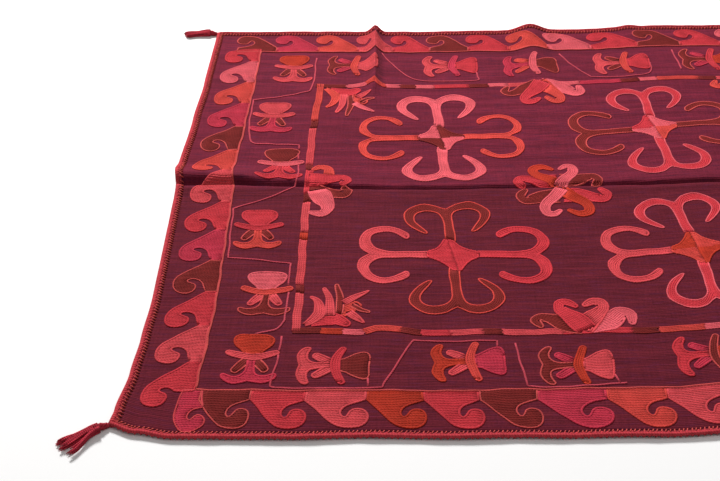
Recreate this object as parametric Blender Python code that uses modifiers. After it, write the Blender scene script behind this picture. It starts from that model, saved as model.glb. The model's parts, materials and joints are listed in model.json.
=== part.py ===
"""Embroidered kilim rug lying on a floor: one woven cloth, four plaited edge cords, four tassels.

Metres, +Z up. The origin is the rug's centre, on the floor. +X runs along the rug's length.
The cloth is drawn flat in u (length) and v (width), and plan() and rise() lay it down.
"""
import math
import random
from collections import namedtuple

import bmesh
import bpy
from mathutils import Vector

# Driving sizes
LENGTH = 1.80            # over the edge cords
WIDTH = 1.205            # over the edge cords
CLOTH_THICK = 0.003
CORD_WIDTH = 0.010
CORD_HEIGHT = 0.0065
CORD_SECTION = ((0.70, 0.0), (1.0, 0.28), (1.0, 0.62), (0.58, 1.0))   # parts of half width, height
GAP = 0.0003             # between pieces that touch
GRID_STEP = 0.085        # between the cloth's grid lines, away from folds
SAME_LINE = 0.0035       # grid lines nearer than this are one line

KNOT_RADIUS = 0.0058
KNOT_HEIGHT = 0.0070
KNOT_SIDES = 12
KNOT_TAPER = 0.86        # radius at its top over radius at its foot
KNOT_ROOM = KNOT_RADIUS + 0.0004   # from a knot's centre to the end of an edge cord
NECK_LIFT = 0.0004       # keeps the neck's underside off the knot's

STRAND_SIDE = 0.0020
STRAND_TUCK = 0.004      # how far a strand starts inside the tassel's head
ROOT_PITCH = 0.0024      # between strands where they leave the head
STRAND_RAGGED = 0.010    # how much shorter a strand may be than the longest
STRAND_SWAY = 0.0002     # sideways wander of a strand
STRAND_SETTLED = 0.55    # part of a strand's length by which it lies level
STRAND_STEPS = 5
SEED = 11

# The cloth's size without its edge cords
HALF_U = LENGTH / 2 - CORD_WIDTH - GAP
HALF_V = WIDTH / 2 - CORD_WIDTH - GAP

# How the laid cloth leaves a true rectangle. Each row: at a place along an edge, a shift across it.
Bend = namedtuple("Bend", "at shift")
SWEEP = (Bend(-0.90, -0.005), Bend(-0.46, -0.005), Bend(-0.31, 0.002), Bend(-0.16, 0.009),
         Bend(0.09, 0.031), Bend(0.30, 0.037), Bend(0.90, 0.035))
LEFT_EDGE = (Bend(-0.60, -0.022), Bend(-0.57, -0.018), Bend(-0.48, -0.008), Bend(-0.40, -0.003),
             Bend(-0.30, 0.001), Bend(0.00, 0.0), Bend(0.06, -0.006), Bend(0.24, 0.003),
             Bend(0.38, 0.010), Bend(0.60, 0.015))
RIGHT_EDGE = (Bend(-0.60, 0.010), Bend(-0.40, 0.002), Bend(0.20, 0.0), Bend(0.60, -0.006))
NEAR_EDGE = (Bend(-0.90, 0.016), Bend(-0.86, 0.001), Bend(-0.81, -0.008), Bend(-0.66, -0.007),
             Bend(-0.55, -0.002), Bend(-0.10, -0.009), Bend(0.60, -0.004), Bend(0.90, 0.006))
FAR_EDGE = (Bend(-0.90, -0.004), Bend(-0.60, 0.001), Bend(-0.30, 0.003), Bend(0.10, 0.004),
            Bend(0.90, -0.003))
END_REACH = 0.45         # how far inward the left and right edges' shifts are felt
SIDE_REACH = 0.16        # the same for the near and far edges

# Storage creases that stand up. "runs" is the crest's direction, "at" its place across it,
# "near" and "off" the widths of its two slopes, and "heights" pairs of place along it and height.
Fold = namedtuple("Fold", "runs at near off rounded heights")
FOLDS = (
    Fold("u", 0.012, 0.050, 0.016, False,
         (Bend(-0.90, 0.015), Bend(-0.80, 0.013), Bend(-0.58, 0.010), Bend(0.90, 0.009))),
    Fold("v", -0.552, 0.024, 0.022, False,
         (Bend(0.33, 0.0), Bend(0.41, 0.015), Bend(0.60, 0.018))),
    Fold("v", -0.222, 0.050, 0.046, True,
         (Bend(0.26, 0.0), Bend(0.40, 0.006), Bend(0.52, 0.010), Bend(0.60, 0.0145))),
    Fold("v", -0.010, 0.035, 0.035, True,
         (Bend(0.46, 0.0), Bend(0.60, 0.004))),
    Fold("v", 0.350, 0.045, 0.040, True,
         (Bend(0.40, 0.0), Bend(0.60, 0.009))),
)
CREST_LINES = (-1.0, -0.55, -0.22, 0.0, 0.22, 0.55, 1.0)   # grid lines across a fold, in slope widths
CORNER_LINES = (0.018, 0.045)                              # grid lines in from each edge

# Tassels: side of the rug along u and v, heading of the neck, its turn to the tip (degrees),
# length from the knot, width at the tip
Tassel = namedtuple("Tassel", "name side_u side_v heading turn length tip_width")
TASSELS = (
    Tassel("tassel_near_left", -1, -1, 206, 18, 0.086, 0.026),
    Tassel("tassel_far_left", -1, 1, 172, 26, 0.078, 0.020),
    Tassel("tassel_near_right", 1, -1, -24, -12, 0.080, 0.023),
    Tassel("tassel_far_right", 1, 1, 12, -20, 0.076, 0.021),
)
# A tassel's neck and head, as distance from the knot and radius
Ring = namedtuple("Ring", "along radius")
HEAD_RINGS = (Ring(0.002, 0.0036), Ring(0.009, 0.0032), Ring(0.014, 0.0045),
              Ring(0.020, 0.0060), Ring(0.027, 0.0066))
# Its strands' layers, bottom up: how many, height where they leave the head, height at the tip
Layer = namedtuple("Layer", "count root tip")
LAYERS = (Layer(4, 0.0022, 0.0010), Layer(5, 0.0050, 0.0034),
          Layer(5, 0.0078, 0.0058), Layer(4, 0.0106, 0.0082))


def ease(t):
    """0 to 1, starting and ending gently."""
    t = min(max(t, 0.0), 1.0)
    return t * t * (3 - 2 * t)


def eased(rows, at):
    """Value of a table of Bend rows at a place, eased from row to row."""
    if at <= rows[0].at:
        return rows[0].shift
    for low, high in zip(rows, rows[1:]):
        if at <= high.at:
            t = ease((at - low.at) / (high.at - low.at))
            return low.shift + t * (high.shift - low.shift)
    return rows[-1].shift


def felt(distance, reach):
    """1 at an edge, easing to 0 at its reach."""
    return ease(1 - distance / reach)


def plan(u, v):
    """Where a point of the flat cloth lies on the floor."""
    x = u + felt(HALF_U + u, END_REACH) * eased(LEFT_EDGE, v)
    x += felt(HALF_U - u, END_REACH) * eased(RIGHT_EDGE, v)
    y = v + eased(SWEEP, u) + felt(HALF_V + v, SIDE_REACH) * eased(NEAR_EDGE, u)
    y += felt(HALF_V - v, SIDE_REACH) * eased(FAR_EDGE, u)
    return x, y


def rise(u, v):
    """Height of the cloth's underside: the sum of its creases there."""
    height = 0.0
    for fold in FOLDS:
        across, along = (v, u) if fold.runs == "u" else (u, v)
        away = across - fold.at
        t = abs(away) / (fold.near if away < 0 else fold.off)
        if t >= 1:
            continue
        swell = 2.0 if fold.rounded else 0.6
        height += (1 - t) ** 2 * (1 + swell * t) * eased(fold.heights, along)
    return height


def lay(u, v):
    """A point of the flat cloth's underside, laid down."""
    return Vector((*plan(u, v), rise(u, v)))


def grid_lines(half, runs):
    """Places of the cloth's grid lines along one direction."""
    count = round(2 * half / GRID_STEP)
    wanted = [-half, half]
    for inset in CORNER_LINES:
        wanted += [-half + inset, half - inset]
    for fold in FOLDS:
        if fold.runs != runs:
            wanted += [fold.at + t * (fold.near if t < 0 else fold.off) for t in CREST_LINES]
    for i in range(1, count):
        place = -half + 2 * half * i / count
        if min(abs(place - other) for other in wanted) > GRID_STEP / 3:
            wanted.append(place)
    lines = []
    for place in sorted(wanted):
        if not lines or place - lines[-1] > SAME_LINE:
            lines.append(place)
    return lines


def material(name, color, roughness):
    mat = bpy.data.materials.new(name)
    mat.use_nodes = True
    shader = mat.node_tree.nodes["Principled BSDF"]
    shader.inputs["Base Color"].default_value = (*color, 1.0)
    shader.inputs["Roughness"].default_value = roughness
    shader.inputs["Metallic"].default_value = 0.0
    mat.diffuse_color = (*color, 1.0)
    return mat


def collection(name):
    group = bpy.data.collections.new(name)
    bpy.context.scene.collection.children.link(group)
    return group


def add(name, data, group, mat=None):
    """An object of this data, in a collection."""
    obj = bpy.data.objects.new(name, data)
    group.objects.link(obj)
    if mat:
        data.materials.append(mat)
    return obj


def guide(obj):
    """Keeps a cutter or guide out of the part."""
    obj.hide_render = True
    obj.display_type = "WIRE"
    return obj


def make_cloth(group, mat, u_lines, v_lines):
    """The woven cloth: a grid laid in its creases, thickened upwards."""
    bm = bmesh.new()
    across, up = len(u_lines) - 1, len(v_lines) - 1
    bmesh.ops.create_grid(bm, x_segments=across, y_segments=up, size=0.5)
    for vert in bm.verts:
        u = u_lines[round((vert.co.x + 0.5) * across)]
        v = v_lines[round((vert.co.y + 0.5) * up)]
        vert.co = lay(u, v)
    mesh = bpy.data.meshes.new("cloth")
    bm.to_mesh(mesh)
    bm.free()
    cloth = add("cloth", mesh, group, mat)
    thick = cloth.modifiers.new("cloth thickness", "SOLIDIFY")
    thick.thickness = CLOTH_THICK
    thick.offset = 1.0
    return cloth


def outward(before, after, side):
    """Unit normal of an edge's stretch on the floor; side is 1 on the left of its run."""
    run = (after - before).to_2d().normalized()
    return Vector((-run.y, run.x)) * side


def offset_line(points, side, distance):
    """The line beside a run of points on the floor, at one distance, keeping each height."""
    line = []
    for i, point in enumerate(points):
        back = outward(points[max(i - 1, 0)], points[max(i, 1)], side)
        ahead = outward(points[min(i, len(points) - 2)], points[min(i + 1, len(points) - 1)], side)
        step = (back + ahead) * distance / (1 + back.dot(ahead))
        line.append(Vector((point.x + step.x, point.y + step.y, point.z)))
    return line


def crossing(a, b, c, d):
    """Where the floor lines a-b and c-d cross, at the height of a."""
    ab, cd, ac = (b - a).to_2d(), (d - c).to_2d(), (c - a).to_2d()
    t = (ac.x * cd.y - ac.y * cd.x) / (ab.x * cd.y - ab.y * cd.x)
    return a + (b - a) * t


def cord_lines(u_lines, v_lines):
    """The middle line of each edge cord, from knot to knot."""
    out = CORD_WIDTH / 2 + GAP
    low_u, high_u, low_v, high_v = u_lines[0], u_lines[-1], v_lines[0], v_lines[-1]
    lines = {
        "near": offset_line([lay(u, low_v) for u in u_lines], -1, out),
        "far": offset_line([lay(u, high_v) for u in u_lines], 1, out),
        "left": offset_line([lay(low_u, v) for v in v_lines], 1, out),
        "right": offset_line([lay(high_u, v) for v in v_lines], -1, out),
    }
    for side, end_u in (("near", 0), ("far", -1)):
        for other, end_v in (("left", 0), ("right", -1)):
            one, two = lines[side], lines[other]
            beside_one = one[1] if end_v == 0 else one[-2]
            beside_two = two[1] if end_u == 0 else two[-2]
            corner = crossing(one[end_v], beside_one, two[end_u], beside_two)
            one[end_v] = corner
            two[end_u] = corner.copy()
    return lines


def cord_profile(group):
    """Section of an edge cord: flat below, rounded above."""
    right = [(x * CORD_WIDTH / 2, z * CORD_HEIGHT) for x, z in CORD_SECTION]
    points = [(-x, z) for x, z in right] + right[::-1]
    curve = bpy.data.curves.new("edge cord section", "CURVE")
    spline = curve.splines.new("POLY")
    spline.points.add(len(points) - 1)
    for place, (x, z) in zip(spline.points, points):
        place.co = (x, z, 0.0, 1.0)
    spline.use_cyclic_u = True
    return guide(add("edge cord section", curve, group))


def make_cord(name, line, profile, group, mat):
    """One edge cord, swept between two knots."""
    first, last = line[0], line[-1]
    line = list(line)
    line[0] = first + (line[1] - first).normalized() * KNOT_ROOM
    line[-1] = last + (line[-2] - last).normalized() * KNOT_ROOM
    curve = bpy.data.curves.new(name, "CURVE")
    curve.dimensions = "3D"
    curve.twist_mode = "Z_UP"
    curve.bevel_mode = "OBJECT"
    curve.bevel_object = profile
    curve.use_fill_caps = True
    spline = curve.splines.new("POLY")
    spline.points.add(len(line) - 1)
    for place, point in zip(spline.points, line):
        place.co = (*point, 1.0)
    return add(name, curve, group, mat)


def as_mesh(curve_obj, name, group):
    """A mesh guide made from a curve object, with its caps welded; the curve goes."""
    graph = bpy.context.evaluated_depsgraph_get()
    mesh = bpy.data.meshes.new_from_object(curve_obj.evaluated_get(graph))
    bm = bmesh.new()
    bm.from_mesh(mesh)
    bmesh.ops.remove_doubles(bm, verts=bm.verts, dist=0.00001)
    bmesh.ops.recalc_face_normals(bm, faces=bm.faces)
    bm.to_mesh(mesh)
    bm.free()
    bpy.data.objects.remove(curve_obj)
    return add(name, mesh, group)


def tube(name, lines, group, sides_resolution, turn):
    """A curve object of round tubes along lines of (point, radius)."""
    curve = bpy.data.curves.new(name, "CURVE")
    curve.dimensions = "3D"
    curve.twist_mode = "Z_UP"
    curve.bevel_depth = 1.0
    curve.bevel_resolution = sides_resolution
    curve.use_fill_caps = True
    for line in lines:
        spline = curve.splines.new("POLY")
        spline.points.add(len(line) - 1)
        for place, (point, radius) in zip(spline.points, line):
            place.co = (*point, 1.0)
            place.radius = radius
            place.tilt = turn
    obj = add(name, curve, group)
    bpy.context.view_layer.update()
    return obj


def tassel_point(tassel, knot, along, aside):
    """A floor point beside the tassel's bent middle line."""
    steps = 12
    x, y = knot.x, knot.y
    for i in range(steps):
        heading = math.radians(tassel.heading + tassel.turn * along * (i + 0.5) / steps / tassel.length)
        x += math.cos(heading) * along / steps
        y += math.sin(heading) * along / steps
    heading = math.radians(tassel.heading + tassel.turn * along / tassel.length)
    return x - math.sin(heading) * aside, y + math.cos(heading) * aside


def strand_lines(tassel, knot, rng):
    """The middle line of each strand, rooted in the head and lying towards the tip."""
    radius = STRAND_SIDE / math.sqrt(2)
    start = HEAD_RINGS[-1].along - STRAND_TUCK
    tip_pitch = tassel.tip_width / max(layer.count for layer in LAYERS)
    lines = []
    for layer in LAYERS:
        for j in range(layer.count):
            place = j - (layer.count - 1) / 2
            reach = tassel.length - rng.uniform(0.0, STRAND_RAGGED)
            sway = rng.uniform(-STRAND_SWAY, STRAND_SWAY)
            line = []
            for k in range(STRAND_STEPS + 1):
                t = k / STRAND_STEPS
                along = start + (reach - start) * t
                aside = place * (ROOT_PITCH + (tip_pitch - ROOT_PITCH) * ease(t))
                aside += sway * math.sin(2 * math.pi * t)
                height = layer.root + (layer.tip - layer.root) * ease(t / STRAND_SETTLED)
                line.append(((*tassel_point(tassel, knot, along, aside), height), radius))
            lines.append(line)
    return lines


def make_tassel(tassel, knot, group, tools, mat, rng):
    """A corner knot, its neck and head, and the strands fused into the head."""
    bm = bmesh.new()
    made = bmesh.ops.create_cone(bm, cap_ends=True, segments=KNOT_SIDES,
                                 radius1=KNOT_RADIUS, radius2=KNOT_RADIUS * KNOT_TAPER,
                                 depth=KNOT_HEIGHT)
    for vert in made["verts"]:
        vert.co += Vector((knot.x, knot.y, KNOT_HEIGHT / 2))
    mesh = bpy.data.meshes.new(tassel.name)
    bm.to_mesh(mesh)
    bm.free()
    body = add(tassel.name, mesh, group, mat)

    head_line = []
    for ring in HEAD_RINGS:
        place = tassel_point(tassel, knot, ring.along, 0.0)
        flat_below = ring.radius * math.cos(math.pi / 8) + NECK_LIFT
        head_line.append(((*place, flat_below), ring.radius))
    head = tube("head curve", [head_line], tools, 2, math.pi / 8)
    strands = tube("strand curve", strand_lines(tassel, knot, rng), tools, 0, math.pi / 4)
    for part, name in ((head, " head"), (strands, " strands")):
        piece = guide(as_mesh(part, tassel.name + name, tools))
        join = body.modifiers.new("fuse" + name, "BOOLEAN")
        join.operation = "UNION"
        join.object = piece
    return body


def main():
    for obj in list(bpy.data.objects):
        bpy.data.objects.remove(obj)
    group = collection("embroidered kilim rug")
    tools = collection("guides")
    ground = material("plum wool weave", (0.165, 0.022, 0.040), 0.92)
    edging = material("red plaited edge cord", (0.430, 0.040, 0.048), 0.85)
    yarn = material("crimson tassel yarn", (0.300, 0.020, 0.030), 0.85)

    u_lines, v_lines = grid_lines(HALF_U, "u"), grid_lines(HALF_V, "v")
    make_cloth(group, ground, u_lines, v_lines)
    lines = cord_lines(u_lines, v_lines)
    profile = cord_profile(tools)
    for side, line in lines.items():
        make_cord("edge_cord_" + side, line, profile, group, edging)
    rng = random.Random(SEED)
    for tassel in TASSELS:
        line = lines["near" if tassel.side_v < 0 else "far"]
        knot = line[0] if tassel.side_u < 0 else line[-1]
        make_tassel(tassel, knot, group, tools, yarn, rng)


if __name__ == "__main__":
    main()
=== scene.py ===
"""Embroidered kilim rug: the woven cloth, its chain-stitched wool motifs, edge wraps and corner tassels.

Metres, +Z up, the origin at the rug's centre on the floor. Motifs are drawn on the flat cloth, u along its
length and v across it, and laid() puts a point of the flat cloth where the rug lies.
"""

import json
import math
import random
from collections import namedtuple

import bpy
import numpy as np
from bpy.props import FloatProperty, FloatVectorProperty, IntProperty, PointerProperty
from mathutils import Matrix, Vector

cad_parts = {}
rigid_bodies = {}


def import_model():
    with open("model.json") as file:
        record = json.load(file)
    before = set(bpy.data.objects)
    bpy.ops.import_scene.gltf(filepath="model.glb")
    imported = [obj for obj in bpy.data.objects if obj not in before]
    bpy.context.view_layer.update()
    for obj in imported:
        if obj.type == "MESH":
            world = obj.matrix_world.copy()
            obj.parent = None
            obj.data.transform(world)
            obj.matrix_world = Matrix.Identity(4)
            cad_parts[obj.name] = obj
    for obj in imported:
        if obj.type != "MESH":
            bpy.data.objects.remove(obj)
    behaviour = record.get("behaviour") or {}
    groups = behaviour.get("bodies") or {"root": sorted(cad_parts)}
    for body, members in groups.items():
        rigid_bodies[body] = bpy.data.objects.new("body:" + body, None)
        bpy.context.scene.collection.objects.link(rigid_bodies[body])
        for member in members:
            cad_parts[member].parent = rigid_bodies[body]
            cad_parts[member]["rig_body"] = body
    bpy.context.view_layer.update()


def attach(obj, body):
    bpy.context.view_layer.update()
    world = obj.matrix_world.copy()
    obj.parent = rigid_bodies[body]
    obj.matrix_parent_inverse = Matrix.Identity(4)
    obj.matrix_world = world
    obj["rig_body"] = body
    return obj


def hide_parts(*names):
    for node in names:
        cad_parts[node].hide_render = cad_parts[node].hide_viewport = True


bl_info = {
    "name": "Embroidered Kilim Rug",
    "version": (1, 0, 0),
    "blender": (4, 5, 0),
    "location": "3D Viewport > Sidebar > Kilim",
    "description": "Dresses a kilim rug with its weave, chain-stitched motifs, wrapped edges and tassels",
    "category": "Add Mesh",
}

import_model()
BODY = "root"

# The rug's own sizes, the same as its solids'
LENGTH = 1.80
WIDTH = 1.205
CLOTH_THICK = 0.003
CORD_WIDTH = 0.010
GAP = 0.0003
HALF_U = LENGTH / 2 - CORD_WIDTH - GAP
HALF_V = WIDTH / 2 - CORD_WIDTH - GAP
EDGE_OUT = CORD_WIDTH / 2 + GAP


def metres(text):
    """Numbers written in millimetres, as metres."""
    return tuple(float(number + "e-3") for number in text.split())


def mm(text):
    """Rows of such numbers, parted by commas."""
    return tuple(metres(part) for part in text.split(","))


Bend = namedtuple("Bend", "at shift")


def bends(text):
    """A table of places and the shifts there."""
    return tuple(Bend(*part) for part in mm(text))


# How the laid cloth leaves a true rectangle: shifts across it at places along its length or its edges, and how far
# into the cloth an edge's shifts reach
SWEEP = bends("-900 -5, -460 -5, -310 2, -160 9, 90 31, 300 37, 900 35")
LEFT_EDGE = bends("-600 -22, -570 -18, -480 -8, -400 -3, -300 1, 0 0, 60 -6, 240 3, 380 10, 600 15")
RIGHT_EDGE = bends("-600 10, -400 2, 200 0, 600 -6")
NEAR_EDGE = bends("-900 16, -860 1, -810 -8, -660 -7, -550 -2, -100 -9, 600 -4, 900 6")
FAR_EDGE = bends("-900 -4, -600 1, -300 3, 100 4, 900 -3")
END_REACH = 0.45
SIDE_REACH = 0.16

# A fold across the rug: its place, its reach on both sides, how round its crest is, and its heights along v
Fold = namedtuple("Fold", "at near off roundness heights")
FOLDS = (Fold(-0.552, 0.024, 0.022, 0.6, bends("330 0, 410 15, 600 18")),
         Fold(-0.222, 0.050, 0.046, 2.0, bends("260 0, 400 6, 520 10, 600 14.5")),
         Fold(-0.010, 0.035, 0.035, 2.0, bends("460 0, 600 4")),
         Fold(0.350, 0.045, 0.040, 2.0, bends("400 0, 600 9")))
# The middle crease: a sharp valley line, with a swell on its near side and a steeper one beyond it. A swell has its
# side of the line, its reach, and along the rug its crest's distance from the line and its height
CREASE = bends("-900 20, -800 23, -700 19, -600 13, -340 12, -220 14, -150 16, -110 16, -50 12, 0 10, 900 10")
CREASE_MIDDLE = 0.015
Swell = namedtuple("Swell", "side reach crests heights")
SWELLS = (Swell(-1, 0.050, bends("-900 8, 900 8"), bends("-900 4, -700 2.6, 900 2.6")),
          Swell(1, 0.075, bends("-900 18, -750 13, -600 8, 900 8"),
                bends("-900 16.5, -800 14, -735 8.8, -655 7.8, -600 5.8, -500 4.8, -250 4.8, -80 6, 900 6")))
SWELL_POWER = 1.4
# Where the cloth's mesh lines lie on a fold, as shares of its reach, and beside the middle crease, in millimetres
FOLD_LINES = (-1.0, -0.8, -0.62, -0.46, -0.32, -0.2, -0.1, 0.0, 0.12, 0.25, 0.4, 0.58, 0.78, 1.0)
CREASE_LINES = (-16, -11, -8, -5, -2.5, 0, 2, 4, 6, 8, 10.5, 13, 18, 24, 32)
LINES_CLOSEST = 0.0012
# Mesh lines follow the middle crease, less and less over FOLLOW_FADE, as far from it as FOLLOW_REACH
FOLLOW_REACH = 0.12
FOLLOW_FADE = 0.08

# Soft unevenness where stitching draws the cloth in: waves per metre along u and v, and their phase
PUCKERS = ((4.1, 5.3, 0.4), (8.7, -6.1, 1.9), (-13.1, 15.7, 3.1), (23.0, 9.0, 0.7))

# Where the inner line of the wave border runs
BAND_U = 0.798
BAND_NEAR = -0.507
BAND_FAR = 0.517

# Stitching
ROW_PITCH = 0.0034       # chain stitch rows, drawn about a quarter coarser than real ones so that they show
ROW_SINK = 0.0008        # how far a row's sides go into the cloth
LINE_STEP = 0.002        # between points of a drawn line
ROW_SHORTEST = 0.004
ROW_LONGEST = 0.009      # longest straight piece of a row
EDGE_SHARE = 0.72        # how wide an outline of another wool is, as a share of a row
SIDE_SLACK = 0.0003      # how much nearer to its guide a row may come where the guide bends
WANDER = 0.0007          # how far a stitched line strays
GUIDE_MARGIN = 0.01      # how far a weft guide runs past its outline
GUIDE_LEAD = 8           # how many steps a band's guide runs past its ends
ROW_TURN = math.cos(math.radians(14))    # a row keeps its points where it turns more than this
TONE_LOTS = (0.95, 1.05)
HUE_LOTS = (0.95, 1.06)
ROW_FULLNESS = (0.98, 1.10)
# A row's section from side to side: places as shares of its width, heights as shares of its own, which points sink
# into the cloth, and which sides are shaded smooth
ROW_ACROSS = np.array((-0.56, -0.5, 0.0, 0.5, 0.56))
ROW_UP = np.array((0.0, 0.8, 1.0, 0.8, 0.0))
ROW_RIM = np.array((1.0, 0.0, 0.0, 0.0, 1.0))
ROW_SOFT = (False, True, True, False, False)
SEED = 7


def linear(hex_colour):
    """Scene-linear colour of an sRGB hex value."""
    channels = (int(hex_colour[i:i + 2], 16) / 255 for i in (1, 3, 5))
    return tuple(c / 12.92 if c <= 0.04045 else ((c + 0.055) / 1.055) ** 2.4 for c in channels)


def colour(name, hex_colour, description):
    return FloatVectorProperty(name=name, description=description, default=linear(hex_colour),
                               subtype="COLOR", size=3, min=0.0, max=1.0)


def length(name, description, default, low, high):
    return FloatProperty(name=name, description=description, default=default, min=low, max=high, unit="LENGTH")


class KilimSizes(bpy.types.PropertyGroup):
    """Sizes a user may change."""
    row_height: length("Row height", "How far a row of chain stitch stands up", 0.0009, 0.0003, 0.003)
    outline_height: length("Outline height", "How far a motif's outline stands up", 0.0011, 0.0003, 0.003)
    pucker: length("Pucker", "Unevenness of the laid cloth", 0.0014, 0.0, 0.004)
    grid_step: length("Cloth grid", "Spacing of the cloth's mesh lines", 0.0088, 0.004, 0.05)
    wrap_pitch: length("Wrap pitch", "Spacing of the wraps round the edge", 0.0086, 0.003, 0.02)
    yarns: IntProperty(name="Tassel yarns", description="Yarns in one tassel", default=46, min=8, max=200)


class KilimColours(bpy.types.PropertyGroup):
    """Colours of the dyed wool."""
    # plum_far is paler than plum_near: partly the cloth's own tone, partly painted light on the more brightly lit far
    # half
    plum_near: colour("Plum, near half", "#651E2A", "Cloth on the near side of the middle crease")
    plum_far: colour("Plum, far half", "#732134", "Cloth on the far side of the middle crease")
    plum_violet: colour("Violet plum", "#5A1D33", "Weft runs with more blue in them")
    plum_dark: colour("Dark plum", "#491220", "Darker weft runs")
    pink: colour("Pink", "#D4565F", "Palest stitching wool")
    salmon: colour("Salmon", "#CB454B", "Salmon stitching wool")
    coral: colour("Coral", "#C8413A", "Orange red stitching wool")
    red: colour("Red", "#C0333C", "Plain red stitching wool")
    crimson: colour("Crimson", "#BA3044", "Blue red stitching wool")
    rust: colour("Rust", "#B23322", "Rust orange stitching wool")
    brown: colour("Brown", "#742220", "Red brown stitching wool")
    outline: colour("Outline red", "#C24A48", "Outlines round brown wool")
    vine: colour("Vine pink", "#BC4452", "The thin vine between the flowers")
    edge: colour("Edge red", "#B83A42", "Cord along the edge")
    wrap: colour("Wrap red", "#C8544C", "Wraps round the edge")
    edge_core: colour("Edge core", "#8F2D38", "Cord under the wraps")
    tassel: colour("Tassel crimson", "#B83443", "Tassel yarn")


def sizes():
    return bpy.context.scene.kilim_sizes


def wool(name):
    """A dyed wool's colour by name."""
    return np.array(getattr(bpy.context.scene.kilim_colours, name))


# ---- the laid cloth

def ease(t):
    """0 to 1, starting and ending gently."""
    t = np.clip(t, 0.0, 1.0)
    return t * t * (3 - 2 * t)


def eased(rows, at):
    """Values of a table of Bend rows at places, eased from row to row."""
    marks = np.array([row.at for row in rows])
    shifts = np.array([row.shift for row in rows])
    k = np.clip(np.searchsorted(marks, at) - 1, 0, len(rows) - 2)
    return shifts[k] + (shifts[k + 1] - shifts[k]) * ease((at - marks[k]) / (marks[k + 1] - marks[k]))


def felt(distance, reach):
    """1 at an edge, easing to 0 at its reach."""
    return ease(1 - distance / reach)


def rise(u, v):
    """Height of the cloth's underside: its creases and its pucker."""
    height = np.zeros_like(u)
    for fold in FOLDS:
        away = u - fold.at
        t = np.minimum(np.abs(away) / np.where(away < 0, fold.near, fold.off), 1.0)
        height += (1 - t) ** 2 * (1 + fold.roundness * t) * eased(fold.heights, v)
    for swell in SWELLS:
        away = np.maximum((v - eased(CREASE, u)) * swell.side, 0.0)
        crest = eased(swell.crests, u)
        climb = 1 - (1 - np.minimum(away / crest, 1.0)) ** SWELL_POWER
        height += np.minimum(climb, 1 - ease((away - crest) / (swell.reach - crest))) * eased(swell.heights, u)
    waves = sum(1 + np.sin(2 * math.pi * (a * u + b * v) + c) for a, b, c in PUCKERS)
    return height + waves * sizes().pucker / (2 * len(PUCKERS))


def laid(u, v, height=0.0):
    """Points of the flat cloth laid down, at heights above its underside."""
    u, v = np.asarray(u, float), np.asarray(v, float)
    x = u + felt(HALF_U + u, END_REACH) * eased(LEFT_EDGE, v)
    x = x + felt(HALF_U - u, END_REACH) * eased(RIGHT_EDGE, v)
    y = v + eased(SWEEP, u) + felt(HALF_V + v, SIDE_REACH) * eased(NEAR_EDGE, u)
    y = y + felt(HALF_V - v, SIDE_REACH) * eased(FAR_EDGE, u)
    return np.stack((x, y, rise(u, v) + height), axis=-1)


# ---- lines and outlines

def spread(points, closed=False):
    """A smooth line through points, LINE_STEP apart. A point given twice running is a corner."""
    points = np.asarray(points, float)
    count = len(points)
    line = []
    for i in range(count if closed else count - 1):
        before, start, end, after = (points[(i + k) % count if closed else min(max(i + k, 0), count - 1)]
                                     for k in (-1, 0, 1, 2))
        steps = math.ceil(np.linalg.norm(end - start) / LINE_STEP)
        t = np.arange(steps)[:, None] / max(steps, 1)
        line.append(0.5 * (2 * start + (end - before) * t + (2 * before - 5 * start + 4 * end - after) * t ** 2
                           + (3 * start - before - 3 * end + after) * t ** 3))
    if not closed:
        line.append(points[-1:])
    return np.concatenate(line)


def straight(a, b, step=LINE_STEP):
    """A straight line's points."""
    steps = max(1, math.ceil(math.dist(a, b) / step))
    return np.linspace(a, b, steps + 1)


def run_length(points):
    """How far along a line each of its points is."""
    return np.concatenate(([0.0], np.cumsum(np.linalg.norm(np.diff(points, axis=0), axis=1))))


def normals(line, closed=False):
    """Unit normals on the left of a line's run."""
    if closed:
        run = np.roll(line, -1, axis=0) - np.roll(line, 1, axis=0)
    else:
        run = np.gradient(line, axis=0)
    run /= np.maximum(np.linalg.norm(run, axis=1, keepdims=True), 1e-12)
    return np.stack((-run[:, 1], run[:, 0]), axis=1)


def distance(points, line, closed=False):
    """Distance of each point from a line."""
    start = line if closed else line[:-1]
    run = np.roll(line, -1, axis=0) - line if closed else line[1:] - line[:-1]
    to = points[:, None] - start[None]
    t = np.clip((to * run).sum(2) / np.maximum((run * run).sum(1), 1e-12), 0, 1)
    return np.sqrt(((to - t[..., None] * run) ** 2).sum(2).min(1))


def depth(points, outline):
    """How far each point lies inside an outline, less than 0 outside it."""
    x, y = points[:, 0, None], points[:, 1, None]
    x1, y1 = outline[:, 0], outline[:, 1]
    x2, y2 = np.roll(x1, -1), np.roll(y1, -1)
    rising = np.where(np.abs(y2 - y1) < 1e-12, 1e-12, y2 - y1)
    hits = ((y1 > y) != (y2 > y)) & (x < x1 + (y - y1) * (x2 - x1) / rising)
    away = distance(points, outline, closed=True)
    return np.where(hits.sum(1) % 2 == 1, away, -away)


def band(spine, widths, round_start=False, round_end=True):
    """Outline of a band of changing width along a spine, widths given evenly along it."""
    places = np.linspace(0, len(widths) - 1, len(spine))
    half = np.interp(places, np.arange(len(widths)), widths)[:, None] / 2
    side = normals(spine) * half
    left, right = spine + side, (spine - side)[::-1]

    def cap(centre, arm):
        turn = np.radians([-30, -60, -90, -120, -150])[:, None]
        return centre + arm * np.cos(turn) + np.stack((-arm[1], arm[0])) * np.sin(turn)

    parts = [left]
    if round_end:
        parts.append(cap(spine[-1], side[-1]))
    parts.append(right)
    if round_start:
        parts.append(cap(spine[0], -side[0]))
    return np.concatenate(parts)


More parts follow.
